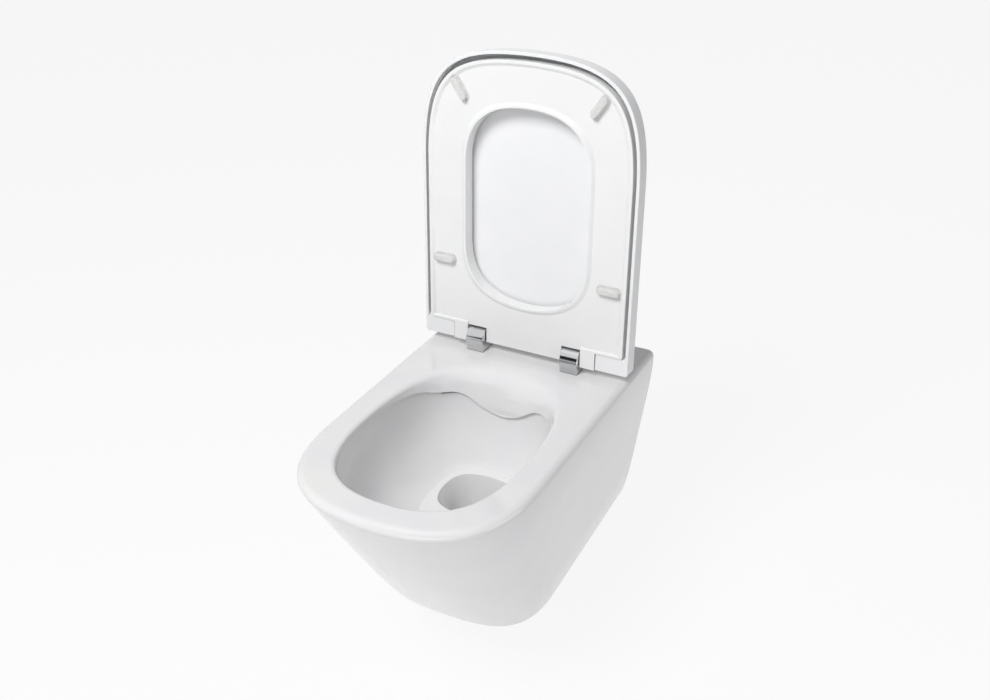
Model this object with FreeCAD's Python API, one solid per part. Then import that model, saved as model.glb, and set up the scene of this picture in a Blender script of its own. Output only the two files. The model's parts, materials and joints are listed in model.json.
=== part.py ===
import FreeCAD, Part
import math
import os

os.makedirs("parts", exist_ok=True)
V = FreeCAD.Vector

# Wall hung toilet, in millimetres. The origin is midway between the two wall fixing
# holes on the wall plane, +X is right seen from the front, the front faces -Y, +Z is up.

# Pan
deck_top = 78.0                 # flat top of the pan above the wall fixing holes
pan_depth = 288.0               # deck to underside
deck_edge_radius = 10.0
base_edge_radius = 4.0
skirt_wall = 11.0
deck_wall = 16.0
rear_wall = 14.0
# depth below the deck, half width at the root of the nose, how much wider at the wall,
# reach from the wall, nose length, fullness of the nose at its side and at its tip
pan_levels = [
    (0.0, 169.5, 3.5, 552.5, 163.0, 0.68, 0.68),
    (72.0, 165.0, 1.2, 513.5, 152.0, 0.72, 0.67),
    (144.0, 155.5, -1.2, 473.0, 139.0, 0.76, 0.66),
    (216.0, 146.0, -3.5, 431.0, 124.0, 0.82, 0.65),
    (pan_depth, 132.0, -5.8, 387.0, 106.5, 0.87, 0.65),
]

# Bowl
bowl_centre = -343.0
bowl_half_width = 127.0
bowl_front_reach = 158.5
bowl_rear_reach = 158.0
bowl_fullness = 0.71
mouth_radius = 6.0              # rounding of the mouth's edge at the front and the sides
slope_run = 38.0                # the deck's slope down the lip at the middle of the rear
slope_fall = 52.0
mouth_steps = 8
lip_depth_side = 13.0           # the lip is short at the sides and the front
lip_side_x = 133.0
wave_handle = 0.45              # share of a lobe over which the lip's wave runs level
lobe_x = 82.0                   # where the flushing lip stands highest, each side
lip_depth_lobe = 29.0
lip_depth_middle = 62.0
lip_wall = 9.0
slot_depth = 18.0               # water slots behind the lip's lobes
slot_height = 4.0
slot_skin = 6.0                 # from the mouth's wall to the slot
slot_inner = 60.0
slot_outer = 92.0
# depth, half width, front reach and rear reach from the wall, all of the bowl's inside
bowl_levels = [
    (lip_depth_side, 131.0, 505.0, 177.0),
    (40.0, 131.0, 502.5, 178.0),
    (72.0, 128.0, 494.0, 180.5),
    (104.0, 114.0, 470.0, 187.0),
    (132.0, 92.0, 425.0, 195.0),
    (152.0, 68.0, 370.0, 203.0),
]
sump_levels = [
    (147.0, 58.0, 321.0, 221.0),
    (175.0, 52.0, 312.0, 224.0),
    (210.0, 45.0, 303.0, 226.0),
    (250.0, 36.0, 293.0, 229.0),
]
bowl_wall = 10.0
bowl_rear_side = -283.0         # the flush parts lie behind this plane
shell_overlap = 4.0             # how far under the deck's top the bowl's wall begins

# Trap and connections
inlet_depth = 43.0              # centre of the flush inlet below the deck
inlet_radius = 27.5
inlet_socket = 45.0
inlet_wall = 9.0
water_way_radius = 20.5         # from the inlet to the slots behind the lip
water_way_end = -176.0
outlet_depth = 178.0            # centre of the waste outlet below the deck
outlet_radius = 51.0
outlet_bore = 42.0
outlet_length = 54.0
outlet_wall_depth = 12.0        # from the spigot's front end to its bore
outlet_clearance = 67.0         # radius of the hole in the rear wall round the outlet
trap_bore = 25.0
trap_wall = 6.5
trap_bend = 32.0
trap_floor_depth = 226.0        # centre line of the trap's lowest run below the deck
trap_crest_depth = 132.0        # and of its crest, which sets the water level
trap_start = -259.0
trap_rise_foot = -169.0
trap_rise_head = -143.0
trap_fall_head = -92.0
trap_fall_foot = -68.0
trap_end = -8.0

# Wall fixings
fixing_spacing = 180.0
fixing_bore = 6.25
sleeve_radius = 11.0
sleeve_flange = 3.0
washer_radius = 15.0
washer_bore = 6.6
washer_thickness = 2.5
nut_radius = 10.4               # across its corners
nut_bore = 5.95
nut_thickness = 10.0
fixing_lug = 34.0               # how far the lugs reach in from the wall
fixing_lug_wall = 11.0
access_half_width = 84.0        # opening under the trap
access_front = -158.0
access_rear = -26.0

# Hinges
hinge_y = -102.5
hinge_height = 17.5             # hinge axis above the deck
post_inner = 66.0
post_outer = 95.5
barrel_radius = 19.3
foot_half_depth = 17.5
mount_x = 77.5                  # 155 mm between the two mounting holes
mount_hole = 7.5
mount_boss_wall = 12.0
mount_boss_depth = 6.0          # below the underside of the deck
post_wall = 3.2
post_edge_radius = 1.0
post_cavity = 12.0              # height of the post's hollow above the deck
gasket_thickness = 0.8
base_thickness = 2.2
screw_radius = 3.0
screw_length = 50.0
stud_head = 6.0
stud_neck = 3.6
plug_top = 1.5
plug_foot = 36.0
button_height = 6.4             # centre of the release button above the deck
button_half_width = 6.0
button_half_height = 2.6
button_proud = 1.6
button_travel = 2.0
latch_thickness = 1.6
lug_y = -99.0
spring_x = 88.0
spring_radius = 1.7
spring_wire = 0.3
spring_turns = 6
lean_degrees = 4.9              # how far the open lid and the open seat lean back
knuckle_inner = 96.6
knuckle_outer = 120.2
block_inner = 121.6
shaft_radius = 2.5
housing_radius = 4.8
bush_radius = 4.8
key_length = 8.0
key_half_width = 0.8
key_height = 1.2
housing_end = 152.0
run_gap = 0.06                  # radial running clearance of a hinge bore

# Lid, drawn standing up: across, towards the back, up from the hinge axis
lid_half_width = 173.5
lid_top = 449.0
lid_bottom = -5.8
lid_front = -9.6
lid_back = 18.0
lid_wall = 4.6
lid_panel = 5.0
lid_nose = 172.0
lid_fullness = 0.79
lid_edge_radius = 4.0
front_edge_radius = 1.2
lid_corner_radius = 4.0
block_radius = 22.6             # top of the lid's end blocks, round the hinge axis
shoulder_radius = 24.0          # lower edge of the seat above them
notch_inner = 64.5
notch_top = 21.0

# Seat, drawn standing up behind the lid's rim
seat_half_width = 164.0
seat_top = 437.0
seat_bottom = -2.7
knuckle_bottom = -6.2
seat_front = -11.1              # the raised edge under the seat
seat_back = 8.8
seat_panel = -8.4               # the recessed underside
seat_edge_width = 4.0
seat_slope_width = 4.5
recess_foot = 24.4              # lower border of the recess above the hinge axis
recess_foot_slope = 2.2
hole_half_width = 99.7
hole_low = 69.0
hole_high = 372.0
hole_nose = 90.0
hole_fullness = 0.66
bead_width = 2.9
bead_foot = 6.0
bead_front = -11.5
seat_nose = 162.0
seat_fullness = 0.79
seat_edge_radius = 4.0
seat_corner_radius = 4.0
pad_reach = -17.1               # pads that carry the seat on the pan
pad_half_width = 7.5
pad_length = 40.0
pad_sink = 1.0
pad_round = 2.5
# name, place across, height above the axis, turn
seat_pad_places = [("rear", 136.8, 124.5, 0.0), ("front", 109.5, 388.0, 56.0)]
lid_pad_length = 26.0
lid_pad_half_width = 5.0
lid_pad_places = [(138.0, 70.0), (118.0, 374.0)]


def box(x0, x1, y0, y1, z0, z1):
    return Part.makeBox(x1 - x0, y1 - y0, z1 - z0, V(x0, y0, z0))


def rod(radius, start, end):
    axis = end.sub(start)
    return Part.makeCylinder(radius, axis.Length, start, axis)


def tube(outer, inner, start, end):
    axis = end.sub(start)
    reach = V(axis).normalize()
    return rod(outer, start, end).cut(rod(inner, start.sub(reach), end.add(reach)))


def both_sides(maker):
    right = maker()
    return {"right": right, "left": right.mirror(V(0, 0, 0), V(1, 0, 0))}


def save(node, shape):
    solids = shape.Solids
    kept = solids[0] if len(solids) == 1 else Part.makeCompound(solids)
    print(f"{node}: {len(solids)} solid(s), {kept.Volume / 1000:.2f} cm3, valid {kept.isValid()}")
    kept.exportStep(f"parts/{node}.step")


def line(start, end):
    return Part.LineSegment(start, end).toShape()


def quarter(start, corner, end, fullness, end_fullness=None):
    """A quarter turn from start to end; fullness 0.55 is a circle and 1 reaches the corner."""
    curve = Part.BezierCurve()
    near = start.add(corner.sub(start).multiply(fullness))
    far = end.add(corner.sub(end).multiply(end_fullness or fullness))
    curve.setPoles([start, near, far, end])
    return curve.toShape()


def oval(half_width, front, rear, centre, z, fullness):
    """A closed rounded oval at height z; front and rear are its reaches from its centre."""
    right, left = V(half_width, centre, z), V(-half_width, centre, z)
    back, nose = V(0, centre + rear, z), V(0, centre - front, z)
    return Part.Wire([
        quarter(right, V(half_width, back.y, z), back, fullness),
        quarter(back, V(-half_width, back.y, z), left, fullness),
        quarter(left, V(-half_width, nose.y, z), nose, fullness),
        quarter(nose, V(half_width, nose.y, z), right, fullness),
    ])


# ---------------------------------------------------------------- pan

def pan_wire(level, inset, rear=0.0):
    """One horizontal outline of the pan's outside, drawn in by inset."""
    depth, half_width, widening, reach, nose, side_fullness, tip_fullness = level
    z = deck_top - depth
    root = nose - reach
    tip = inset - reach
    narrow = half_width - inset
    slope = -widening / root
    wide = narrow + slope * (rear - root)
    corner = narrow + slope * (tip - root)
    return Part.Wire([
        line(V(-wide, rear, z), V(wide, rear, z)),
        line(V(wide, rear, z), V(narrow, root, z)),
        quarter(V(narrow, root, z), V(corner, tip, z), V(0, tip, z), side_fullness, tip_fullness),
        quarter(V(0, tip, z), V(-corner, tip, z), V(-narrow, root, z), tip_fullness, side_fullness),
        line(V(-narrow, root, z), V(-wide, rear, z)),
    ])


def pan_outside():
    """Drawn a little through the wall and cut flat on its plane."""
    past_wall = 6.0
    body = Part.makeLoft([pan_wire(level, 0.0, past_wall) for level in pan_levels], True, False)
    beyond = 2 * lid_half_width
    body = body.cut(box(-beyond, beyond, 0, 2 * past_wall, -beyond, beyond))
    top = [e for e in body.Edges if e.BoundBox.ZMin > deck_top - 0.5 and e.BoundBox.YMin < -1.0]
    body = body.makeFillet(deck_edge_radius, top)
    base = [e for e in body.Edges
            if e.BoundBox.ZMax < deck_top - pan_depth + 0.5 and e.BoundBox.YMin < -1.0]
    return body.makeFillet(base_edge_radius, base)


def pan_hollow():
    """Space between the skirt and the bowl, open through nothing but the cuts made later."""
    top = deck_wall
    wires = []
    for level in pan_levels:
        depth = min(max(level[0], top), pan_depth - skirt_wall)
        wires.append(pan_wire((depth,) + level_at(depth), skirt_wall, -rear_wall))
    return Part.makeLoft(wires, True, False)


def level_at(depth):
    """The pan's outline values at any depth, on a straight line between two levels."""
    for low, high in zip(pan_levels, pan_levels[1:]):
        if depth <= high[0]:
            share = (depth - low[0]) / (high[0] - low[0])
            return tuple(a + (b - a) * share for a, b in zip(low[1:], high[1:]))
    return pan_levels[-1][1:]


def bowl_wire(level, grow):
    depth, half_width, front, rear = level
    centre = -(front + rear) / 2
    if depth == lip_depth_side:
        centre = bowl_centre
    return oval(half_width + grow, front + centre + grow, -rear - centre + grow,
                centre, deck_top - depth, bowl_fullness)


def bowl_loft(levels, grow):
    """The bowl or its sump; grow makes the wall round it, with a floor as thick."""
    last = levels[-1]
    deeper = levels[:-1] + [(last[0] + grow,) + last[1:]]
    return Part.makeLoft([bowl_wire(level, grow) for level in deeper], True, False)


def mouth(grow, top_z, bottom_z):
    """Upright oval of the bowl's mouth."""
    wire = oval(bowl_half_width + grow, bowl_front_reach + grow, bowl_rear_reach + grow,
                bowl_centre, bottom_z, bowl_fullness)
    return Part.Face(wire).extrude(V(0, 0, top_z - bottom_z))


def flared_mouth():
    """The mouth down to the lip's edge: its own edge slightly rounded, its rear a wide slope."""
    wires = [oval(bowl_half_width, bowl_front_reach, bowl_rear_reach, bowl_centre,
                  deck_top - lip_depth_middle, bowl_fullness)]
    for step in range(mouth_steps + 1):
        turn = math.pi / 2 * step / mouth_steps
        depth = slope_fall * (1 - math.sin(turn))
        rear = slope_run * (1 - math.cos(turn))
        left = max(mouth_radius - depth, 0.0)
        side = mouth_radius - math.sqrt(mouth_radius ** 2 - left ** 2)
        wires.append(oval(bowl_half_width + side, bowl_front_reach + side, bowl_rear_reach + rear,
                          bowl_centre, deck_top - depth, bowl_fullness))
    return Part.makeLoft(wires, True, False)


def water_slots():
    """Two narrow curved slots under the lip's lobes, where the flush comes out."""
    top = deck_top - lip_depth_lobe - 0.5
    ring = mouth(slot_depth, top, top - slot_height).cut(mouth(slot_skin, top + 1, top - slot_height - 1))
    reach = bowl_centre + bowl_rear_reach + slot_depth + 1
    slots = []
    for side in (-1, 1):
        x0, x1 = sorted((side * slot_inner, side * slot_outer))
        slots.append(ring.common(box(x0, x1, bowl_rear_side, reach, top - slot_height - 1, top + 1)))
    return slots


def above_lip(y0, y1):
    """Everything above the waved lower edge of the flushing lip."""
    side_z = deck_top - lip_depth_side + 1
    points = [
        V(-lip_side_x, y0, side_z),
        V(-lobe_x, y0, deck_top - lip_depth_lobe),
        V(0, y0, deck_top - lip_depth_middle),
        V(lobe_x, y0, deck_top - lip_depth_lobe),
        V(lip_side_x, y0, side_z),
    ]
    edges = []
    for start, end in zip(points, points[1:]):
        handle = V((end.x - start.x) * wave_handle, 0, 0)
        curve = Part.BezierCurve()
        curve.setPoles([start, start.add(handle), end.sub(handle), end])
        edges.append(curve.toShape())
    right, left = V(lip_side_x, y0, deck_top + 5), V(-lip_side_x, y0, deck_top + 5)
    edges += [line(points[-1], right), line(right, left), line(left, points[0])]
    return Part.Face(Part.Wire(edges)).extrude(V(0, y1 - y0, 0))


def trap_path():
    """Centre line of the trap in the middle plane, from the bowl's sump to the outlet."""
    outlet_z = deck_top - outlet_depth
    floor_z = deck_top - trap_floor_depth
    crest_z = deck_top - trap_crest_depth
    points = [
        V(0, trap_start, floor_z),
        V(0, trap_rise_foot, floor_z),
        V(0, trap_rise_head, crest_z),
        V(0, trap_fall_head, crest_z),
        V(0, trap_fall_foot, outlet_z),
        V(0, trap_end, outlet_z),
    ]
    return rounded_path(points, trap_bend)


def rounded_path(points, radius):
    """A wire of straight runs joined by tangent arcs."""
    edges = []
    start = points[0]
    for before, corner, after in zip(points, points[1:], points[2:]):
        back = before.sub(corner).normalize()
        ahead = after.sub(corner).normalize()
        half = back.getAngle(ahead) / 2
        run = radius / math.tan(half)
        entry = corner.add(V(back).multiply(run))
        leave = corner.add(V(ahead).multiply(run))
        middle = V(back).add(ahead).normalize().multiply(radius / math.sin(half) - radius)
        edges.append(line(start, entry))
        edges.append(Part.Arc(entry, corner.add(middle), leave).toShape())
        start = leave
    edges.append(line(start, points[-1]))
    return Part.Wire(edges)


def trap_tube(radius):
    path = trap_path()
    start = V(0, trap_start, deck_top - trap_floor_depth)
    ring = Part.Wire([Part.Circle(start, V(0, 1, 0), radius).toShape()])
    return path.makePipeShell([ring], True, False)


def pan():
    inlet_z = deck_top - inlet_depth
    outlet_z = deck_top - outlet_depth
    lip_z = deck_top - lip_depth_middle
    outside = pan_outside()
    shell = outside.cut(pan_hollow())

    bowl = bowl_loft(bowl_levels, bowl_wall).common(outside)
    sump = bowl_loft(sump_levels, bowl_wall).common(outside)
    throat = mouth(bowl_wall, deck_top - shell_overlap, lip_z)
    slot_back = mouth(slot_depth + bowl_wall, deck_top - shell_overlap, lip_z)
    slot_back = slot_back.common(box(-slot_outer - bowl_wall, slot_outer + bowl_wall,
                                     bowl_rear_side, -inlet_socket, 0, deck_top))
    duct = rod(water_way_radius + inlet_wall, V(0, -rear_wall / 2, inlet_z), V(0, water_way_end, inlet_z))
    socket = rod(inlet_radius + inlet_wall, V(0, -rear_wall / 2, inlet_z),
                 V(0, -inlet_socket - inlet_wall, inlet_z))
    trap = trap_tube(trap_bore + trap_wall)
    spigot = rod(outlet_radius, V(0, -outlet_length, outlet_z), V(0, 0, outlet_z))
    lugs = []
    for side in (-1, 1):
        x = side * fixing_spacing / 2
        lugs.append(rod(sleeve_radius + fixing_lug_wall, V(x, -fixing_lug, 0), V(x, -rear_wall / 2, 0)))
        lugs.append(rod(mount_hole + mount_boss_wall,
                        V(side * mount_x, hinge_y, deck_top - deck_wall - mount_boss_depth),
                        V(side * mount_x, hinge_y, deck_top - deck_wall / 2)))
    opening = rod(outlet_clearance, V(0, -rear_wall - 1, outlet_z), V(0, 1, outlet_z))
    shell = shell.cut(opening)
    body = shell.multiFuse([bowl, sump, throat, slot_back, duct, socket, trap, spigot] + lugs)

    under_lip = bowl_loft(bowl_levels, 0.0).fuse(bowl_loft(sump_levels, 0.0))
    tongue = mouth(lip_wall, deck_top, lip_z - 12).common(above_lip(bowl_centre, -100))
    bores = [
        under_lip.cut(tongue),
        trap_tube(trap_bore),
        rod(outlet_bore, V(0, outlet_wall_depth - outlet_length, outlet_z), V(0, 1, outlet_z)),
        rod(inlet_radius, V(0, 1, inlet_z), V(0, -inlet_socket, inlet_z)),
        rod(water_way_radius, V(0, 0, inlet_z), V(0, water_way_end + inlet_wall, inlet_z)),
    ] + water_slots()
    for side in (-1, 1):
        x = side * fixing_spacing / 2
        bores.append(rod(sleeve_radius + 0.3, V(x, 1, 0), V(x, -fixing_lug - 1, 0)))
        bores.append(rod(mount_hole, V(side * mount_x, hinge_y, deck_top + 1),
                         V(side * mount_x, hinge_y, deck_top - deck_wall - 2 * mount_boss_depth)))
    access = box(-access_half_width, access_half_width, access_front, access_rear,
                 deck_top - pan_depth - 1, deck_top - pan_depth + skirt_wall + 6)
    bores.append(access)
    for bore in bores:
        body = body.cut(bore)
    throat_bore = flared_mouth()
    above_lobes = box(-lid_half_width, lid_half_width, 2 * bowl_centre, 0,
                      deck_top - lip_depth_lobe, deck_top + 1)
    return body.cut(throat_bore.common(above_lobes)).cut(throat_bore.common(under_lip))


# ---------------------------------------------------------------- lid and seat

def stand(shape):
    """Put a piece drawn from the hinge axis in its open place, leaning back."""
    placed = shape.copy()
    placed.rotate(V(0, 0, 0), V(1, 0, 0), -lean_degrees)
    placed.translate(V(0, hinge_y, deck_top + hinge_height))
    return placed


def arch(half_width, low, high, nose, y, fullness):
    """Upright outline: level foot, straight sides and a rounded top."""
    root = high - nose
    return Part.Wire([
        line(V(-half_width, y, low), V(half_width, y, low)),
        line(V(half_width, y, low), V(half_width, y, root)),
        quarter(V(half_width, y, root), V(half_width, y, high), V(0, y, high), fullness),
        quarter(V(0, y, high), V(-half_width, y, high), V(-half_width, y, root), fullness),
        line(V(-half_width, y, root), V(-half_width, y, low)),
    ])


def slab(wire, y1):
    return Part.Face(wire).extrude(V(0, y1 - wire.BoundBox.YMin, 0))


def outer_edges(shape, y, low):
    """Edges of the rounded outline that lie in the plane y, above low."""
    return [e for e in shape.Edges
            if abs(e.BoundBox.YMin - y) < 0.01 and e.BoundBox.YLength < 0.01
            and e.BoundBox.ZMax > low]


def lower_corners(shape, half_width, low):
    """The two upright edges of the foot's corners, front to back."""
    return [e for e in shape.Edges
            if abs(abs(e.CenterOfMass.x) - half_width) < 0.01 and abs(e.CenterOfMass.z - low) < 0.01
            and e.BoundBox.YLength > 5]


def lid():
    shell = slab(arch(lid_half_width, lid_bottom, lid_top, lid_nose, lid_front, lid_fullness),
                 lid_back)
    shell = shell.makeFillet(lid_corner_radius, lower_corners(shell, lid_half_width, lid_bottom))
    shell = shell.makeFillet(lid_edge_radius, outer_edges(shell, lid_back, lid_bottom - 1))
    shell = shell.makeFillet(front_edge_radius, outer_edges(shell, lid_front, lid_bottom - 1))
    inner = slab(arch(lid_half_width - lid_wall, 0.0, lid_top - lid_wall,
                      lid_nose - lid_wall, lid_front - 1, lid_fullness), lid_back - lid_panel)
    blocks = rod(block_radius, V(-lid_half_width, 0, 0), V(lid_half_width, 0, 0))
    shell = shell.cut(inner.cut(blocks))
    shell = shell.cut(box(-block_inner, block_inner, lid_front - 1, lid_back - lid_panel,
                          lid_bottom - 1, block_radius + 1))
    for side in (-1, 1):
        x0, x1 = sorted((side * notch_inner, side * (post_outer + 2.0)))
        shell = shell.cut(box(x0, x1, lid_front - 1, lid_back + 1, lid_bottom - 1, notch_top))
    shell = shell.cut(rod(housing_radius + run_gap, V(-block_inner + 1, 0, 0), V(-housing_end, 0, 0)))
    shell = shell.cut(rod(housing_radius, V(block_inner - 1, 0, 0), V(housing_end, 0, 0)))
    return shell.cut(damper_key(block_inner + 4))


def seat_plate(inset, y, low):
    return arch(seat_half_width - inset, low, seat_top - inset, seat_nose - inset, y, seat_fullness)


def seat():
    body = slab(seat_plate(0.0, seat_front, shoulder_radius - 3), seat_back)
    body = body.makeFillet(seat_corner_radius,
                           lower_corners(body, seat_half_width, shoulder_radius - 3))
    body = body.makeFillet(seat_edge_radius, outer_edges(body, seat_back, 60))
    body = body.makeFillet(front_edge_radius, outer_edges(body, seat_front, 60))
    body = body.cut(rod(shoulder_radius, V(-seat_half_width - 1, 0, 0), V(seat_half_width + 1, 0, 0)))
    middle = box(-notch_inner, notch_inner, seat_front, seat_back, seat_bottom, shoulder_radius + 1)
    bridge = box(-knuckle_outer, knuckle_outer, seat_front, seat_back, notch_top, shoulder_radius + 1)
    body = body.multiFuse([middle, bridge])
    for side in (-1, 1):
        x0, x1 = sorted((side * knuckle_inner, side * knuckle_outer))
        body = body.fuse(box(x0, x1, seat_front, seat_back, knuckle_bottom, notch_top + 1))
    body = body.removeSplitter()
    recess = Part.makeLoft([
        seat_plate(seat_edge_width - 1, seat_front - 1, recess_foot - 0.3),
        seat_plate(seat_edge_width + seat_slope_width, seat_panel, recess_foot + recess_foot_slope),
    ], True, True)
    strip = box(-knuckle_inner, knuckle_inner, seat_front - 1, seat_panel,
                knuckle_bottom - 1, recess_foot + recess_foot_slope + 1)
    body = body.cut(recess).cut(strip)
    bead = Part.makeLoft([hole_wire(bead_width, bead_front),
                          hole_wire(bead_width + bead_foot, seat_panel + 1)], True, True)
    body = body.fuse(bead).cut(hole_slab(0.0, bead_front - 1, seat_back + 1))
    for pad in seat_pads().values():
        body = body.cut(pad)
    body = body.cut(rod(housing_radius, V(-knuckle_inner + 1, 0, 0), V(-knuckle_outer - 1, 0, 0)))
    body = body.cut(rod(bush_radius, V(knuckle_inner - 1, 0, 0), V(knuckle_outer + 1, 0, 0)))
    return body.cut(damper_key(-knuckle_outer + 6))


def hole_wire(grow, y0):
    middle = (hole_low + hole_high) / 2
    reach = (hole_high - hole_low) / 2 + grow
    x, root = hole_half_width + grow, reach - hole_nose
    top, foot = middle + reach, middle - reach
    return Part.Wire([
        line(V(x, y0, middle - root), V(x, y0, middle + root)),
        quarter(V(x, y0, middle + root), V(x, y0, top), V(0, y0, top), hole_fullness),
        quarter(V(0, y0, top), V(-x, y0, top), V(-x, y0, middle + root), hole_fullness),
        line(V(-x, y0, middle + root), V(-x, y0, middle - root)),
        quarter(V(-x, y0, middle - root), V(-x, y0, foot), V(0, y0, foot), hole_fullness),
        quarter(V(0, y0, foot), V(x, y0, foot), V(x, y0, middle - root), hole_fullness),
    ])


def hole_slab(grow, y0, y1):
    return Part.Face(hole_wire(grow, y0)).extrude(V(0, y1 - y0, 0))


def pad(x, z, angle, length, half_width, y0, y1):
    """A long pad with round ends, centred at x, z and turned in the seat's plane."""
    half = length / 2 - half_width
    body = box(-half, half, y0, y1, -half_width, half_width)
    for end in (-half, half):
        body = body.fuse(rod(half_width, V(end, y0, 0), V(end, y1, 0)))
    body = body.removeSplitter()
    body.rotate(V(0, 0, 0), V(0, 1, 0), -angle)
    body.translate(V(x, 0, z))
    return body


def seat_pads():
    pads = {}
    for name, x, z, angle in seat_pad_places:
        for side, word in ((1, "right"), (-1, "left")):
            body = pad(side * x, z, side * angle, pad_length, pad_half_width,
                       pad_reach, seat_panel + pad_sink)
            top = [e for e in body.Edges if abs(e.BoundBox.YMax - pad_reach) < 0.01]
            pads[f"seat_bumper_{name}_{word}"] = body.makeFillet(pad_round, top)
    return pads


def lid_pads():
    face = lid_back - lid_panel
    return Part.makeCompound([
        pad(side * x, z, 0.0, lid_pad_length, lid_pad_half_width,
            seat_back + 0.1, face)
        for x, z in lid_pad_places for side in (-1, 1)])


# ---------------------------------------------------------------- hinges

def damper_key(x):
    """Rib that stops a damper housing from turning, towards the top of the hinge."""
    return box(x, x + key_length, -key_half_width, key_half_width, 0, housing_radius + key_height)


def damper_housing(side):
    """Left one turns with the seat, right one with the lid."""
    inner = knuckle_inner + 0.4 if side < 0 else block_inner + 0.4
    outer = housing_end - 2.4
    body = tube(housing_radius, shaft_radius + run_gap, V(side * inner, 0, 0), V(side * outer, 0, 0))
    key = damper_key(-knuckle_outer + 6 if side < 0 else block_inner + 4)
    body = body.fuse(key.cut(rod(shaft_radius + 1, V(-200, 0, 0), V(200, 0, 0))))
    return stand(body)


def damper_cap(side):
    start, end = V(side * (housing_end - 2.4), 0, 0), V(side * (housing_end - 0.2), 0, 0)
    return stand(rod(housing_radius - 0.2, start, end))


def damper_shaft(side):
    start, end = V(side * (post_inner + 5), 0, 0), V(side * (housing_end - 6), 0, 0)
    return stand(rod(shaft_radius, start, end))


def knuckle_bush():
    return stand(tube(bush_radius, shaft_radius + run_gap,
                      V(knuckle_inner, 0, 0), V(knuckle_outer, 0, 0)))


def hinge_post():
    axis_z = deck_top + hinge_height
    foot = deck_top + gasket_thickness
    barrel = rod(barrel_radius, V(post_inner, hinge_y, axis_z), V(post_outer, hinge_y, axis_z))
    front, back = hinge_y - foot_half_depth, hinge_y + foot_half_depth
    block = box(post_inner, post_outer, front, back, foot, axis_z)
    below = box(post_inner - 1, post_outer + 1, front - 9, back + 9, deck_top - 9, foot)
    body = barrel.cut(below).fuse(block).removeSplitter()
    rims = [e for e in body.Edges if e.BoundBox.XLength < 0.01]
    body = body.makeFillet(post_edge_radius, rims)
    body = body.cut(box(post_inner + post_wall, post_outer - post_wall,
                        front + post_wall, back - post_wall, foot - 1, deck_top + post_cavity))
    slot = button_head(0.25, back - post_wall - 1, back + 2)
    body = body.cut(slot)
    return body.cut(rod(shaft_radius, V(post_inner + 5, hinge_y, axis_z),
                        V(post_outer + 1, hinge_y, axis_z)))


def button_head(grow, y0, y1):
    x = (post_inner + post_outer) / 2
    z = deck_top + button_height
    return box(x - button_half_width - grow, x + button_half_width + grow, y0, y1,
               z - button_half_height - grow, z + button_half_height + grow)


def release_button():
    back = hinge_y + foot_half_depth
    inside = back - post_wall
    head = button_head(0.0, inside - 0.2, back + button_proud)
    z0 = deck_top + button_height - button_half_height
    z1 = z0 + latch_thickness
    flange = box(post_inner + post_wall + 1.2, post_outer - post_wall - 1.2,
                 inside - 1.7, inside - 0.2, z0, deck_top + post_cavity - 0.6)
    far = hinge_y - stud_head - 0.5
    near = hinge_y + stud_head + 0.5 + button_travel
    frame = box(mount_x - stud_head - 2.1, mount_x + stud_head + 2.1, far - 2.6, inside - 1.0, z0, z1)
    window = box(mount_x - stud_head - 0.5, mount_x + stud_head + 0.5, far, near, z0 - 1, z1 + 1)
    lug = box(mount_x + stud_head + 1.0, spring_x + 1.6, lug_y, lug_y + 1.6, z0, z0 + 4.4)
    return head.multiFuse([flange, frame, lug]).cut(window).removeSplitter()


def button_spring():
    """Drawn at its pressed length, so that it clears the button over the travel."""
    start = hinge_y - foot_half_depth + post_wall + 0.4
    end = lug_y - button_travel - 0.4
    helix = Part.makeHelix((end - start) / spring_turns, end - start, spring_radius)
    ring = Part.Wire([Part.Circle(V(spring_radius, 0, 0), V(0, 1, 0), spring_wire).toShape()])
    coil = Part.Wire(helix.Edges).makePipeShell([ring], True, True)
    coil.rotate(V(0, 0, 0), V(1, 0, 0), -90)
    coil.translate(V(spring_x, start, deck_top + button_height))
    return coil


def hinge_base():
    x0, x1 = post_inner + post_wall + 0.4, post_outer - post_wall - 0.4
    y0, y1 = hinge_y - foot_half_depth + post_wall + 0.4, hinge_y + foot_half_depth - post_wall - 0.4
    floor = deck_top + gasket_thickness
    plate = box(x0, x1, y0, y1, floor, floor + base_thickness)
    corners = [e for e in plate.Edges if e.BoundBox.ZLength > 1]
    plate = plate.makeFillet(2.0, corners)
    return plate.cut(rod(screw_radius + 0.2, V(mount_x, hinge_y, floor - 1),
                         V(mount_x, hinge_y, floor + 5)))


def hinge_gasket():
    plate = box(post_inner + 0.4, post_outer - 0.4, hinge_y - foot_half_depth + 0.4,
                hinge_y + foot_half_depth - 0.4, deck_top, deck_top + gasket_thickness)
    return plate.cut(rod(screw_radius + 0.2, V(mount_x, hinge_y, deck_top - 1),
                         V(mount_x, hinge_y, deck_top + 2)))


def mounting_screw():
    seat_z = deck_top + gasket_thickness + base_thickness
    at = [V(mount_x, hinge_y, z) for z in
          (deck_top - screw_length, seat_z, seat_z + stud_neck, seat_z + stud_neck + 3.0)]
    body = rod(screw_radius, at[0], at[1])
    body = body.fuse(rod(screw_radius + 0.6, at[1], at[2])).fuse(rod(stud_head, at[2], at[3]))
    socket = Part.Face(Part.Wire(Part.makePolygon(
        [V(mount_x + 2.5 * math.cos(math.pi * i / 3), hinge_y + 2.5 * math.sin(math.pi * i / 3),
           at[3].z - 2.2) for i in range(7)])))
    return body.cut(socket.extrude(V(0, 0, 4)))


def expansion_plug():
    return tube(mount_hole - 0.3, screw_radius + 0.1, V(mount_x, hinge_y, deck_top - plug_top),
                V(mount_x, hinge_y, deck_top - plug_foot))


def plug_nut():
    return tube(mount_hole - 0.9, screw_radius, V(mount_x, hinge_y, deck_top - plug_foot),
                V(mount_x, hinge_y, deck_top - plug_foot - 8))


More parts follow.
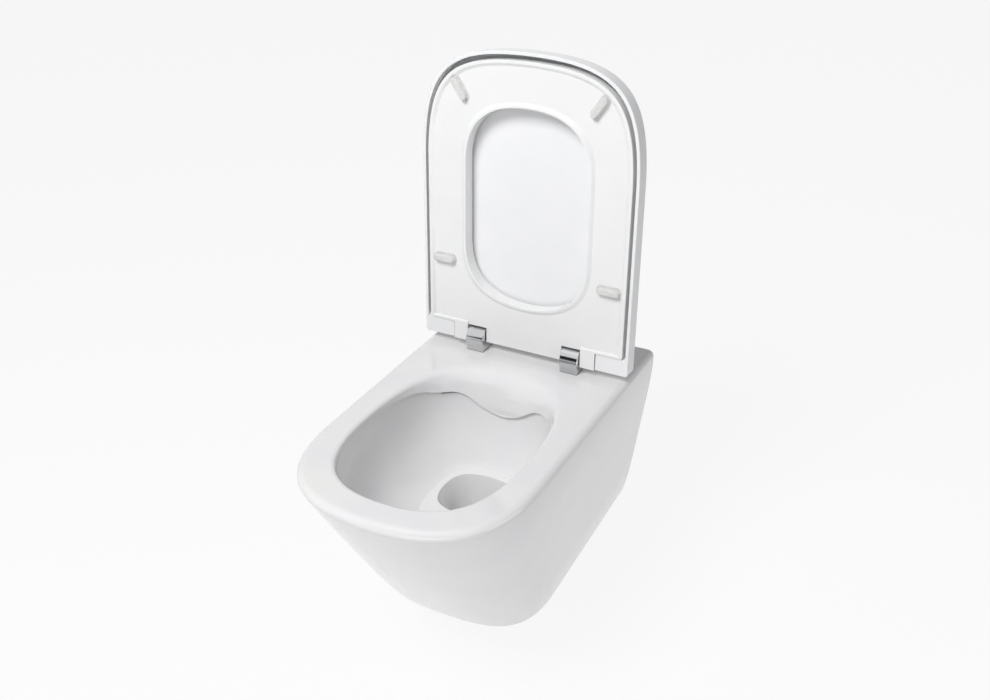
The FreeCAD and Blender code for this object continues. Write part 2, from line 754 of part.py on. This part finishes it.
# ---------------------------------------------------------------- wall fixings

def on_fixings(maker):
    return Part.makeCompound([maker(side * fixing_spacing / 2) for side in (-1, 1)])


def wall_sleeve(x):
    body = rod(sleeve_radius, V(x, -0.5, 0), V(x, -fixing_lug, 0))
    body = body.fuse(rod(sleeve_radius + 6, V(x, -fixing_lug, 0),
                         V(x, -fixing_lug - sleeve_flange, 0)))
    return body.removeSplitter().cut(rod(fixing_bore, V(x, 1, 0), V(x, -fixing_lug - 5, 0)))


def wall_washer(x):
    start = -fixing_lug - sleeve_flange
    return tube(washer_radius, washer_bore, V(x, start, 0), V(x, start - washer_thickness, 0))


def wall_nut(x):
    start = -fixing_lug - sleeve_flange - washer_thickness
    hexagon = [V(x + nut_radius * math.cos(math.pi * i / 3), start,
                 nut_radius * math.sin(math.pi * i / 3)) for i in range(7)]
    body = Part.Face(Part.Wire(Part.makePolygon(hexagon))).extrude(V(0, -nut_thickness, 0))
    return body.cut(rod(nut_bore, V(x, start + 1, 0), V(x, start - nut_thickness - 1, 0)))


def main():
    save("pan", pan())
    save("lid", stand(lid()))
    save("seat", stand(seat()))
    for name, body in seat_pads().items():
        save(name, stand(body))
    save("lid_bumpers", stand(lid_pads()))
    for side, word in ((-1, "left"), (1, "right")):
        save(f"damper_housing_{word}", damper_housing(side))
        save(f"damper_cap_{word}", damper_cap(side))
        save(f"damper_shaft_{word}", damper_shaft(side))
    save("knuckle_bush", knuckle_bush())
    pairs = {
        "hinge_post": hinge_post,
        "release_button": release_button,
        "button_spring": button_spring,
        "hinge_base": hinge_base,
        "hinge_gasket": hinge_gasket,
        "mounting_screw": mounting_screw,
        "expansion_plug": expansion_plug,
        "plug_nut": plug_nut,
    }
    for name, maker in pairs.items():
        for word, body in both_sides(maker).items():
            save(f"{name}_{word}", body)
    save("wall_sleeves", on_fixings(wall_sleeve))
    save("wall_washers", on_fixings(wall_washer))
    save("wall_nuts", on_fixings(wall_nut))


main()
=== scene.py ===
import json
import math
import bpy
from mathutils import Matrix, Vector


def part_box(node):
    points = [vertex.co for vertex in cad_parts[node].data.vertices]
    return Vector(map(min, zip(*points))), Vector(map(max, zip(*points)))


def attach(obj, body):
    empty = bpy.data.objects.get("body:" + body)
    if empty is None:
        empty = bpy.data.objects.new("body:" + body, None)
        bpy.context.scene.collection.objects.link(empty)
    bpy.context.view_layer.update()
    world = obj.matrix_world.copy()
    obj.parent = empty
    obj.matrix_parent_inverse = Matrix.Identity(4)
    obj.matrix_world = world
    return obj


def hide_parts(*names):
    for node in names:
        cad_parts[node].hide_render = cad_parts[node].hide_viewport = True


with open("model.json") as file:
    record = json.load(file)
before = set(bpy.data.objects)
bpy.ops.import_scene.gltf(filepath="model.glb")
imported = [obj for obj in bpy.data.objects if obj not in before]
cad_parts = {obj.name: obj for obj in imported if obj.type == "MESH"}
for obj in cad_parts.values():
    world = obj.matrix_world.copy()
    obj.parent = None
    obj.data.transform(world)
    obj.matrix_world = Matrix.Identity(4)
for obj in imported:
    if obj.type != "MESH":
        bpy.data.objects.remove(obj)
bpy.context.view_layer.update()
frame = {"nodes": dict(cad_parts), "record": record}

nodes = frame["nodes"]
mm = 0.001
print("frame loaded:", len(nodes), "nodes")


def hexColour(code):
    # sRGB hex to the linear values that a shader socket takes
    values = [int(code[i:i + 2], 16) / 255 for i in (1, 3, 5)]
    linear = [v / 12.92 if v <= 0.04045 else ((v + 0.055) / 1.055) ** 2.4 for v in values]
    return (*linear, 1.0)


def perMetre(sizeMm):
    # the noise scale whose features are about sizeMm across, as the coordinates are in metres
    return 1000.0 / sizeMm


def addNode(tree, kind, settings=None, **links):
    # settings are attributes, input names or a ramp's stops, links are input name = output socket
    node = tree.nodes.new(kind)
    for key, value in (settings or {}).items():
        if key == "stops":
            for element, (position, code) in zip(node.color_ramp.elements, value):
                element.position = position
                element.color = hexColour(code)
        elif key in node.inputs:
            node.inputs[key].default_value = value
        else:
            setattr(node, key, value)
    for key, socket in links.items():
        tree.links.new(socket, node.inputs[key.replace("_", " ")])
    return node


def newMaterial(name, settings):
    # settings are values on the shader's own sockets
    material = bpy.data.materials.new(name)
    material.use_nodes = True
    tree = material.node_tree
    shader = tree.nodes["Principled BSDF"]
    for key, value in settings.items():
        shader.inputs[key].default_value = value
    return material, tree, shader


# the noise values between which a tint turns from its first colour to its second
tintFrom, tintTo = 0.3, 0.7


def vitreousChinaGlaze():
    # vitreous china, slip cast and glazed: glass over white, with a slow waviness in its reflections
    material, tree, shader = newMaterial("vitreousChinaGlaze", {
        "Base Color": hexColour("#e9e9ea"), "Roughness": 0.07, "IOR": 1.52,
        "Coat Weight": 0.35, "Coat Roughness": 0.02})
    place = addNode(tree, "ShaderNodeTexCoord").outputs["Object"]
    cloud = addNode(tree, "ShaderNodeTexNoise", {"Scale": perMetre(60), "Detail": 2.0}, Vector=place)
    tint = addNode(tree, "ShaderNodeValToRGB",
                   {"stops": ((tintFrom, "#e8e8ea"), (tintTo, "#ecebea"))}, Fac=cloud.outputs["Fac"])
    wave = addNode(tree, "ShaderNodeTexNoise", {"Scale": perMetre(35), "Detail": 1.0}, Vector=place)
    skin = addNode(tree, "ShaderNodeBump", {"Strength": 0.12, "Distance": 0.5 * mm},
                   Height=wave.outputs["Fac"])
    wear = addNode(tree, "ShaderNodeTexNoise", {"Scale": perMetre(20), "Detail": 2.0}, Vector=place)
    gloss = addNode(tree, "ShaderNodeMapRange", {"To Min": 0.05, "To Max": 0.09},
                    Value=wear.outputs["Fac"])
    tree.links.new(tint.outputs["Color"], shader.inputs["Base Color"])
    tree.links.new(skin.outputs["Normal"], shader.inputs["Normal"])
    tree.links.new(gloss.outputs["Result"], shader.inputs["Roughness"])
    return material


def duroplastGloss(name, light, dark):
    # urea moulding, pressed and polished: whiter than the pan, and its gloss is a little softer
    material, tree, shader = newMaterial(name, {
        "Base Color": hexColour(light), "Roughness": 0.16, "IOR": 1.5})
    place = addNode(tree, "ShaderNodeTexCoord").outputs["Object"]
    cloud = addNode(tree, "ShaderNodeTexNoise", {"Scale": perMetre(45), "Detail": 2.0}, Vector=place)
    tint = addNode(tree, "ShaderNodeValToRGB",
                   {"stops": ((tintFrom, dark), (tintTo, light))}, Fac=cloud.outputs["Fac"])
    wave = addNode(tree, "ShaderNodeTexNoise", {"Scale": perMetre(9), "Detail": 1.0}, Vector=place)
    skin = addNode(tree, "ShaderNodeBump", {"Strength": 0.05, "Distance": 0.15 * mm},
                   Height=wave.outputs["Fac"])
    wear = addNode(tree, "ShaderNodeTexNoise", {"Scale": perMetre(15), "Detail": 2.0}, Vector=place)
    gloss = addNode(tree, "ShaderNodeMapRange", {"To Min": 0.13, "To Max": 0.20},
                    Value=wear.outputs["Fac"])
    tree.links.new(tint.outputs["Color"], shader.inputs["Base Color"])
    tree.links.new(skin.outputs["Normal"], shader.inputs["Normal"])
    tree.links.new(gloss.outputs["Result"], shader.inputs["Roughness"])
    return material


def clearRubber():
    # clear elastomer, moulded: a milky pad that lets some of the white seat show through
    material, tree, shader = newMaterial("bumperElastomer", {
        "Base Color": hexColour("#f4f4f2"), "Roughness": 0.22, "IOR": 1.43,
        "Transmission Weight": 0.3, "Subsurface Weight": 0.3,
        "Subsurface Radius": (0.004, 0.004, 0.004), "Subsurface Scale": 1.0})
    place = addNode(tree, "ShaderNodeTexCoord").outputs["Object"]
    cloud = addNode(tree, "ShaderNodeTexNoise", {"Scale": perMetre(8), "Detail": 2.0}, Vector=place)
    tint = addNode(tree, "ShaderNodeValToRGB",
                   {"stops": ((tintFrom, "#efefee"), (tintTo, "#f7f7f5"))}, Fac=cloud.outputs["Fac"])
    grain = addNode(tree, "ShaderNodeTexNoise", {"Scale": perMetre(1.5), "Detail": 2.0}, Vector=place)
    skin = addNode(tree, "ShaderNodeBump", {"Strength": 0.08, "Distance": 0.05 * mm},
                   Height=grain.outputs["Fac"])
    tree.links.new(tint.outputs["Color"], shader.inputs["Base Color"])
    tree.links.new(skin.outputs["Normal"], shader.inputs["Normal"])
    return material


def chromePlate():
    # zinc casting, polished and chrome plated: a mirror with faint polishing waves
    material, tree, shader = newMaterial("chromePlatedZinc", {
        "Base Color": hexColour("#c9cacc"), "Roughness": 0.06, "Metallic": 1.0})
    place = addNode(tree, "ShaderNodeTexCoord").outputs["Object"]
    wave = addNode(tree, "ShaderNodeTexNoise", {"Scale": perMetre(6), "Detail": 1.0}, Vector=place)
    skin = addNode(tree, "ShaderNodeBump", {"Strength": 0.06, "Distance": 0.08 * mm},
                   Height=wave.outputs["Fac"])
    wear = addNode(tree, "ShaderNodeTexNoise", {"Scale": perMetre(4), "Detail": 2.0}, Vector=place)
    gloss = addNode(tree, "ShaderNodeMapRange", {"To Min": 0.04, "To Max": 0.09},
                    Value=wear.outputs["Fac"])
    tree.links.new(skin.outputs["Normal"], shader.inputs["Normal"])
    tree.links.new(gloss.outputs["Result"], shader.inputs["Roughness"])
    return material


def turnedSteel():
    # stainless steel, turned or stamped: grey and satin, with fine tool lines across it
    material, tree, shader = newMaterial("stainlessSteelTurned", {
        "Base Color": hexColour("#9c9c9a"), "Roughness": 0.32, "Metallic": 1.0})
    place = addNode(tree, "ShaderNodeTexCoord").outputs["Object"]
    across = addNode(tree, "ShaderNodeMapping", {"Scale": (1, 6, 6)}, Vector=place)
    lines = addNode(tree, "ShaderNodeTexNoise", {"Scale": perMetre(0.8), "Detail": 2.0},
                    Vector=across.outputs["Vector"])
    skin = addNode(tree, "ShaderNodeBump", {"Strength": 0.12, "Distance": 0.03 * mm},
                   Height=lines.outputs["Fac"])
    gloss = addNode(tree, "ShaderNodeMapRange", {"To Min": 0.26, "To Max": 0.40},
                    Value=lines.outputs["Fac"])
    tree.links.new(skin.outputs["Normal"], shader.inputs["Normal"])
    tree.links.new(gloss.outputs["Result"], shader.inputs["Roughness"])
    return material


def mouldedNylon():
    # glass filled nylon, moulded: matt off white with a fine spark eroded grain
    material, tree, shader = newMaterial("nylonMoulded", {
        "Base Color": hexColour("#d9d8d2"), "Roughness": 0.5})
    place = addNode(tree, "ShaderNodeTexCoord").outputs["Object"]
    cloud = addNode(tree, "ShaderNodeTexNoise", {"Scale": perMetre(5), "Detail": 2.0}, Vector=place)
    tint = addNode(tree, "ShaderNodeValToRGB",
                   {"stops": ((tintFrom, "#d3d2cc"), (tintTo, "#dddcd7"))}, Fac=cloud.outputs["Fac"])
    grain = addNode(tree, "ShaderNodeTexNoise", {"Scale": perMetre(0.7), "Detail": 2.0}, Vector=place)
    skin = addNode(tree, "ShaderNodeBump", {"Strength": 0.2, "Distance": 0.03 * mm},
                   Height=grain.outputs["Fac"])
    tree.links.new(tint.outputs["Color"], shader.inputs["Base Color"])
    tree.links.new(skin.outputs["Normal"], shader.inputs["Normal"])
    return material


def blackRubber():
    # EPDM rubber, cut and moulded: nearly black, dull, with a little bloom
    material, tree, shader = newMaterial("epdmRubber", {
        "Base Color": hexColour("#262627"), "Roughness": 0.7})
    place = addNode(tree, "ShaderNodeTexCoord").outputs["Object"]
    cloud = addNode(tree, "ShaderNodeTexNoise", {"Scale": perMetre(4), "Detail": 2.0}, Vector=place)
    tint = addNode(tree, "ShaderNodeValToRGB",
                   {"stops": ((tintFrom, "#212122"), (tintTo, "#2e2e2f"))}, Fac=cloud.outputs["Fac"])
    grain = addNode(tree, "ShaderNodeTexNoise", {"Scale": perMetre(0.8), "Detail": 2.0}, Vector=place)
    skin = addNode(tree, "ShaderNodeBump", {"Strength": 0.25, "Distance": 0.04 * mm},
                   Height=grain.outputs["Fac"])
    tree.links.new(tint.outputs["Color"], shader.inputs["Base Color"])
    tree.links.new(skin.outputs["Normal"], shader.inputs["Normal"])
    return material


def turnedBrass():
    # brass, turned and left bare: warm yellow, with fine rings
    material, tree, shader = newMaterial("brassTurned", {
        "Base Color": hexColour("#b99a55"), "Roughness": 0.3, "Metallic": 1.0})
    place = addNode(tree, "ShaderNodeTexCoord").outputs["Object"]
    rings = addNode(tree, "ShaderNodeMapping", {"Scale": (1, 1, 6)}, Vector=place)
    lines = addNode(tree, "ShaderNodeTexNoise", {"Scale": perMetre(0.8), "Detail": 2.0},
                    Vector=rings.outputs["Vector"])
    skin = addNode(tree, "ShaderNodeBump", {"Strength": 0.12, "Distance": 0.03 * mm},
                   Height=lines.outputs["Fac"])
    tree.links.new(skin.outputs["Normal"], shader.inputs["Normal"])
    return material


finishes = {
    "pan_glaze": vitreousChinaGlaze(),
    "lid_plastic": duroplastGloss("duroplastLid", "#f2f2f3", "#eff0f1"),
    "seat_plastic": duroplastGloss("duroplastRing", "#f2f2f2", "#f0f0f0"),
    "bumper_rubber": clearRubber(),
    "hinge_chrome": chromePlate(),
    "stainless_steel": turnedSteel(),
    "nylon": mouldedNylon(),
    "gasket_rubber": blackRubber(),
    "nut_brass": turnedBrass(),
}
for entry in frame["record"]["subparts"]:
    node = nodes[entry["node"]]
    node.data.materials.clear()
    node.data.materials.append(finishes[entry["material_slot"]])
print("materials made:", len(finishes))

bumper = {
    "length": 40.0, "halfWidth": 7.5, "thickness": 9.7,   # mm, as the CAD pad
    "facets": 64,                # round the two ends together
    "baseThickness": 2.6,        # mm, of the patch that lies on the seat
    "baseRound": 0.5,            # mm, rounding of the patch's rim
    "baseSteps": 3,
    "border": 1.6,               # mm, patch left free round the raised pad
    "draft": (0.96, 0.88, 1),    # the pad's top against its foot
    "crown": 1.2,                # mm, rounding of the pad's top
    "crownSteps": 4,
    "smoothBelow": 40.0,         # degrees between two faces that are shaded as one
    "lean": 4.9,                 # degrees, the open seat
    "turns": {"rear": 0.0, "front": 56.0},
}
# least upward part of a face's normal, for a face that looks up and for a level one
upward, level = 0.9, 0.999


def selectFaces(piece, test):
    # leaves edit mode and comes back to it with just the faces that pass the test selected
    bpy.ops.mesh.select_mode(type="FACE")
    bpy.ops.mesh.select_all(action="DESELECT")
    bpy.ops.object.mode_set(mode="OBJECT")
    for face in piece.data.polygons:
        face.select = test(face)
    bpy.ops.object.mode_set(mode="EDIT")


def makeBumper(place, side):
    # a pill-shaped patch with a raised pad on it, drawn lying on its back and then stood up
    node = f"seat_bumper_{place}_{side}"
    low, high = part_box(node)
    centre = (Vector(low) + Vector(high)) / 2
    half = bumper["halfWidth"] * mm
    run = bumper["length"] / 2 * mm - half
    base = bumper["baseThickness"] * mm
    bpy.ops.object.select_all(action="DESELECT")
    bpy.ops.mesh.primitive_cylinder_add(vertices=bumper["facets"], radius=half, depth=base,
                                        location=(0, 0, 0))
    piece = bpy.context.active_object
    piece.name = f"clear_bumper_{place}_{side}"
    for vertex in piece.data.vertices:
        vertex.co.x += math.copysign(run, vertex.co.x)
        vertex.co.z += (base - bumper["thickness"] * mm) / 2
    bpy.ops.object.mode_set(mode="EDIT")
    selectFaces(piece, lambda face: face.normal.z > upward)
    bpy.ops.mesh.bevel(offset=bumper["baseRound"] * mm, segments=bumper["baseSteps"], affect="EDGES")
    selectFaces(piece, lambda face: face.normal.z > level and face.area > half * half)
    bpy.ops.mesh.inset(thickness=bumper["border"] * mm)
    rise = (bumper["thickness"] - bumper["baseThickness"]) * mm
    bpy.ops.mesh.extrude_region_move(TRANSFORM_OT_translate={"value": (0, 0, rise)})
    bpy.ops.transform.resize(value=bumper["draft"], center_override=(0, 0, 0))
    bpy.ops.mesh.bevel(offset=bumper["crown"] * mm, segments=bumper["crownSteps"], affect="EDGES")
    bpy.ops.mesh.select_all(action="SELECT")
    bpy.ops.mesh.normals_make_consistent(inside=False)
    bpy.ops.object.mode_set(mode="OBJECT")
    turn = math.radians(bumper["turns"][place]) * (1 if side == "right" else -1)
    stand = Matrix.Rotation(-math.radians(bumper["lean"]), 4, "X") @ Matrix.Rotation(-turn, 4, "Y")
    piece.data.transform(Matrix.Translation(centre) @ stand @ Matrix.Rotation(math.pi / 2, 4, "X"))
    bpy.ops.object.shade_smooth_by_angle(angle=math.radians(bumper["smoothBelow"]))
    piece.data.materials.append(finishes["bumper_rubber"])
    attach(piece, "seat")
    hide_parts(node)


for place in bumper["turns"]:
    for side in ("left", "right"):
        makeBumper(place, side)
print("bumpers made")

setting = {
    "floorBelowRim": 400.0,      # mm, the usual height of the pan's rim over the floor
    "rimAboveOrigin": 78.0,      # mm
    "floorSize": 14.0,           # metres
    "floorPaint": "#f4f4f4",
    "shadowShare": 0.10,         # how much of the floor's own shading the camera sees
    "air": "#f3f4f6",
    "airLevel": 0.24,            # light from all round, far below what the camera sees as white
}
pureWhite = (1, 1, 1, 1)


def seenDirectly(tree):
    # 1 for rays from the camera, off a mirror or through something clear, 0 for those that light things
    path = addNode(tree, "ShaderNodeLightPath")
    seen = path.outputs["Is Camera Ray"]
    for ray in ("Is Glossy Ray", "Is Transmission Ray"):
        either = addNode(tree, "ShaderNodeMath", {"operation": "MAXIMUM"})
        tree.links.new(seen, either.inputs[0])
        tree.links.new(path.outputs[ray], either.inputs[1])
        seen = either.outputs[0]
    return seen


def paleFloor():
    # painted board, nearly white: the camera sees mostly white and keeps a soft shadow
    material = bpy.data.materials.new("paleFloorPaint")
    material.use_nodes = True
    tree = material.node_tree
    tree.nodes.clear()
    share = addNode(tree, "ShaderNodeMath", {"operation": "MULTIPLY"})
    tree.links.new(seenDirectly(tree), share.inputs[0])
    share.inputs[1].default_value = 1.0 - setting["shadowShare"]
    paint = addNode(tree, "ShaderNodeBsdfDiffuse", {"Color": hexColour(setting["floorPaint"])})
    white = addNode(tree, "ShaderNodeEmission", {"Color": pureWhite, "Strength": 1.0})
    mix = addNode(tree, "ShaderNodeMixShader")
    tree.links.new(share.outputs[0], mix.inputs[0])
    tree.links.new(paint.outputs[0], mix.inputs[1])
    tree.links.new(white.outputs[0], mix.inputs[2])
    addNode(tree, "ShaderNodeOutputMaterial", Surface=mix.outputs[0])
    return material


def makeFloor():
    height = (setting["rimAboveOrigin"] - setting["floorBelowRim"]) * mm
    bpy.ops.object.select_all(action="DESELECT")
    bpy.ops.mesh.primitive_plane_add(size=setting["floorSize"], location=(0, 0, height))
    floor = bpy.context.active_object
    floor.name = "floor"
    floor.data.materials.append(paleFloor())


def makeWorld():
    world = bpy.data.worlds.new("studioAir")
    bpy.context.scene.world = world
    world.use_nodes = True
    tree = world.node_tree
    tree.nodes.clear()
    room = addNode(tree, "ShaderNodeBackground",
                   {"Color": hexColour(setting["air"]), "Strength": setting["airLevel"]})
    white = addNode(tree, "ShaderNodeBackground", {"Color": pureWhite, "Strength": 1.0})
    mix = addNode(tree, "ShaderNodeMixShader")
    tree.links.new(seenDirectly(tree), mix.inputs[0])
    tree.links.new(room.outputs[0], mix.inputs[1])
    tree.links.new(white.outputs[0], mix.inputs[2])
    addNode(tree, "ShaderNodeOutputWorld", Surface=mix.outputs[0])


# two matt cards that shade nothing, for the chrome and the glaze to mirror: they stand behind
# the photo's camera, and a camera behind the object sees them
flagCards = [
    # name, colour, centre in metres, width, height
    ("greyFlag", "#8f8f92", (0.6, -3.6, 1.30), 5.0, 2.3),
    ("blackFlag", "#1c1c1d", (0.6, -3.4, 1.35), 4.0, 0.9),
]
feltRoughness = 0.9


def makeFlag(name, colour, centre, width, height):
    bpy.ops.object.select_all(action="DESELECT")
    bpy.ops.mesh.primitive_plane_add(size=1.0, location=(0, 0, 0))
    card = bpy.context.active_object
    card.name = name
    card.data.transform(Matrix.Translation(centre) @ Matrix.Rotation(math.pi / 2, 4, "X")
                        @ Matrix.Diagonal((width, height, 1.0, 1.0)))
    felt = newMaterial(name + "Felt", {"Base Color": hexColour(colour), "Roughness": feltRoughness})[0]
    card.data.materials.append(felt)
    card.visible_diffuse = False
    card.visible_shadow = False


softBoxes = {
    # name: place and aim in metres, width, height, watts
    "keySoftBox": ((-0.3, -1.65, 2.1), (0, -0.25, 0.05), 0.9, 0.9, 44.0),
    "glowSoftBox": ((0.2, -1.2, 2.5), (0, -0.25, 0.05), 2.4, 2.4, 4.0),
    "rightBounce": ((1.5, -0.3, -0.25), (0.15, -0.3, 0.1), 1.2, 0.5, 5.0),
    "frontBounce": ((0.5, -2.0, -0.25), (0, -0.5, -0.1), 1.2, 0.5, 5.0),
}


def softBox(name, place, aim, width, height, power):
    light = bpy.data.lights.new(name, "AREA")
    light.shape = "RECTANGLE"
    light.size, light.size_y = width, height
    light.energy = power
    lamp = bpy.data.objects.new(name, light)
    lamp.location = place
    lamp.rotation_euler = (Vector(aim) - Vector(place)).to_track_quat("-Z", "Y").to_euler()
    bpy.context.scene.collection.objects.link(lamp)
    return lamp


cameraFit = {
    "place": (677.283, -1382.418, 925.064),   # mm
    "yaw": -0.459, "pitch": 0.505, "roll": 0.008,   # radians
    "lens": 39.25, "sensor": 36.0,            # mm
    "shift": (-0.057, -0.020),
    "clip": (0.05, 50.0),                     # metres
}


def makeCamera():
    data = bpy.data.cameras.new("photoCamera")
    data.lens = cameraFit["lens"]
    data.sensor_width = cameraFit["sensor"]
    data.shift_x, data.shift_y = cameraFit["shift"]
    data.clip_start, data.clip_end = cameraFit["clip"]
    camera = bpy.data.objects.new("photoCamera", data)
    yaw, pitch, roll = cameraFit["yaw"], cameraFit["pitch"], cameraFit["roll"]
    ahead = Vector((math.sin(yaw) * math.cos(pitch), math.cos(yaw) * math.cos(pitch), -math.sin(pitch)))
    right = Vector((math.cos(yaw), -math.sin(yaw), 0.0))
    down = ahead.cross(right)
    turnedRight = right * math.cos(roll) + down * math.sin(roll)
    turnedDown = down * math.cos(roll) - right * math.sin(roll)
    axes = Matrix((turnedRight, -turnedDown, -ahead)).transposed()
    camera.matrix_world = Matrix.Translation(Vector(cameraFit["place"]) * mm) @ axes.to_4x4()
    bpy.context.scene.collection.objects.link(camera)
    bpy.context.scene.camera = camera


for row in flagCards:
    makeFlag(*row)
makeFloor()
makeWorld()
lamps = {name: softBox(name, *row) for name, row in softBoxes.items()}
lamps["keySoftBox"].visible_glossy = False   # no hot square in the glaze, which mirrors the glow box
makeCamera()
bpy.context.scene.view_settings.view_transform = "Standard"
print("floor, lights and camera placed")
